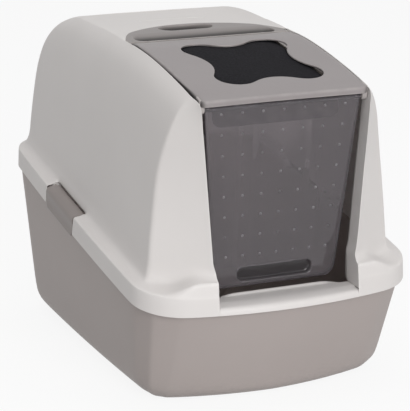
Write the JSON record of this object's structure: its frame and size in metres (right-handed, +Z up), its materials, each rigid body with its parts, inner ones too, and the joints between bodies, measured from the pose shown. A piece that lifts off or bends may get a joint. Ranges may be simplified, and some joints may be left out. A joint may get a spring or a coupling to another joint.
{
  "type": "cat litter box with hood",
  "caption": "Hooded cat litter box: deep pan, lift-off hood with tilted rim, tip-up lid with carbon filter, clear swing door, carry handle and side latches.",
  "frame": {"origin": "on the floor, at the middle of the box seen from above", "axes": "+Z up; -Y is the doorway side; +X is to the right seen from the doorway"},
  "size_m": [0.4124, 0.574, 0.466],
  "materials": {
    "pan_plastic": "satin moulded polypropylene",
    "hood_plastic": "satin moulded polypropylene",
    "lid_plastic": "satin moulded polypropylene",
    "latch_plastic": "satin moulded polypropylene",
    "inner_plastic": "satin moulded polypropylene",
    "smoked_clear_plastic": "clear smoked, polished",
    "carbon_foam": "open-cell carbon foam"
  },
  "bodies": {
    "pan": {"pan": "pan_plastic"},
    "hood": {"hood": "hood_plastic", "carry_handle": "lid_plastic", "latch_pin_left": "inner_plastic", "latch_pin_right": "inner_plastic"},
    "lid": {"front_lid": "lid_plastic", "lid_hinge_pin_left": "inner_plastic", "lid_hinge_pin_right": "inner_plastic", "tray_hinge_pin": "inner_plastic"},
    "door": {"door": "smoked_clear_plastic", "door_hinge_pin_left": "inner_plastic", "door_hinge_pin_right": "inner_plastic"},
    "tray": {"filter_tray": "inner_plastic", "filter_pad": "carbon_foam"},
    "latch_left": {"latch_left": "latch_plastic"},
    "latch_right": {"latch_right": "latch_plastic"}
  },
  "joints": [
    {"name": "hood_lift", "type": "slide", "parent": "pan", "child": "hood", "axis": [0, 0, 1], "range_m": [0, 0.3]},
    {"name": "lid_hinge", "type": "hinge", "parent": "hood", "child": "lid", "pos_m": [0, -0.028, 0.45107], "axis": [-1, 0, 0], "range_deg": [0, 95]},
    {"name": "door_swing", "type": "hinge", "parent": "lid", "child": "door", "pos_m": [0, -0.251, 0.409], "axis": [-1, 0, 0], "range_deg": [-20, 75]},
    {"name": "tray_hinge", "type": "hinge", "parent": "lid", "child": "tray", "pos_m": [0, -0.0303, 0.44831], "axis": [1, 0, 0], "range_deg": [0, 70]},
    {"name": "latch_left_swing", "type": "hinge", "parent": "hood", "child": "latch_left", "pos_m": [-0.1905, 0.05083, 0.22033], "axis": [0, 0.9848, 0.1736], "range_deg": [0, 100]},
    {"name": "latch_right_swing", "type": "hinge", "parent": "hood", "child": "latch_right", "pos_m": [0.1905, 0.05083, 0.22033], "axis": [0, -0.9848, -0.1736], "range_deg": [0, 100]}
  ]
}
